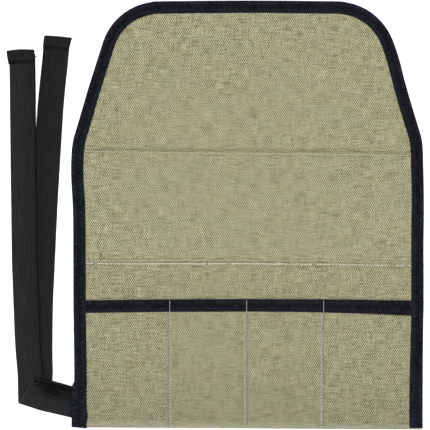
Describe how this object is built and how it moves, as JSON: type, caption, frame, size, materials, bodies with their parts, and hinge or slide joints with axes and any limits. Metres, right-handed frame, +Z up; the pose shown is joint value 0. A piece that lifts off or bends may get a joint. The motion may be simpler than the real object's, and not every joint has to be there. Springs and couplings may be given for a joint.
{
  "type": "canvas tool roll",
  "caption": "Flat-lying canvas tool roll with bound open-topped pockets, a sewn band, a tapering fold-over flap and a two-tailed webbing tie.",
  "frame": {"origin": "centre of the open roll's underside, midway between the two bound sides and between the bottom fold and the flap's tip, without the tie", "axes": "+Y from the bottom fold towards the flap's tip, +Z up out of the pocket side, +X to the right with the tie on the left; rest pose lies flat and fully open"},
  "size_m": [0.3977, 0.41, 0.0099],
  "materials": {
    "canvas": "matte woven khaki canvas",
    "binding": "matte navy-black cotton tape",
    "webbing": "ribbed charcoal-black webbing",
    "thread": "pale grey sewing thread"
  },
  "bodies": {
    "column_1": {"canvas_1": "canvas", "band_1": "canvas", "pocket_1": "canvas", "mouth_binding_1": "binding", "band_stitching_1": "thread", "divider_stitching_1": "thread", "side_binding_left": "binding", "webbing_tail_left": "webbing", "webbing_tail_right": "webbing", "tail_hem_left": "webbing", "tail_hem_right": "webbing"},
    "column_2": {"canvas_2": "canvas", "band_2": "canvas", "pocket_2": "canvas", "mouth_binding_2": "binding", "band_stitching_2": "thread", "divider_stitching_2": "thread"},
    "column_3": {"canvas_3": "canvas", "band_3": "canvas", "pocket_3": "canvas", "mouth_binding_3": "binding", "band_stitching_3": "thread", "divider_stitching_3": "thread"},
    "column_4": {"canvas_4": "canvas", "band_4": "canvas", "pocket_4": "canvas", "mouth_binding_4": "binding", "band_stitching_4": "thread", "side_binding_right": "binding"},
    "flap_1": {"flap_canvas_1": "canvas", "flap_binding_1": "binding"},
    "flap_2": {"flap_canvas_2": "canvas", "flap_binding_2": "binding"},
    "flap_3": {"flap_canvas_3": "canvas", "flap_binding_3": "binding"},
    "flap_4": {"flap_canvas_4": "canvas", "flap_binding_4": "binding"}
  },
  "joints": [
    {"name": "roll_fold_1", "type": "hinge", "parent": "column_1", "child": "column_2", "pos_m": [-0.0758, 0, 0.0012], "axis": [0, -1, 0], "range_deg": [0, 80]},
    {"name": "roll_fold_2", "type": "hinge", "parent": "column_2", "child": "column_3", "pos_m": [-0.0018, 0, 0.0012], "axis": [0, -1, 0], "range_deg": [0, 80]},
    {"name": "roll_fold_3", "type": "hinge", "parent": "column_3", "child": "column_4", "pos_m": [0.0722, 0, 0.0012], "axis": [0, -1, 0], "range_deg": [0, 80]},
    {"name": "flap_fold_1", "type": "hinge", "parent": "column_1", "child": "flap_1", "pos_m": [-0.1219, 0.062, 0.00245], "axis": [1, 0, 0], "range_deg": [0, 179.8]},
    {"name": "flap_fold_2", "type": "hinge", "parent": "column_2", "child": "flap_2", "pos_m": [-0.0388, 0.062, 0.00245], "axis": [1, 0, 0], "range_deg": [0, 179.8]},
    {"name": "flap_fold_3", "type": "hinge", "parent": "column_3", "child": "flap_3", "pos_m": [0.0352, 0.062, 0.00245], "axis": [1, 0, 0], "range_deg": [0, 179.8]},
    {"name": "flap_fold_4", "type": "hinge", "parent": "column_4", "child": "flap_4", "pos_m": [0.1201, 0.062, 0.00245], "axis": [1, 0, 0], "range_deg": [0, 179.8]}
  ],
  "couplings": [
    {"joint": "flap_fold_2", "follows": "flap_fold_1", "ratio": 1},
    {"joint": "flap_fold_3", "follows": "flap_fold_1", "ratio": 1},
    {"joint": "flap_fold_4", "follows": "flap_fold_1", "ratio": 1}
  ]
}
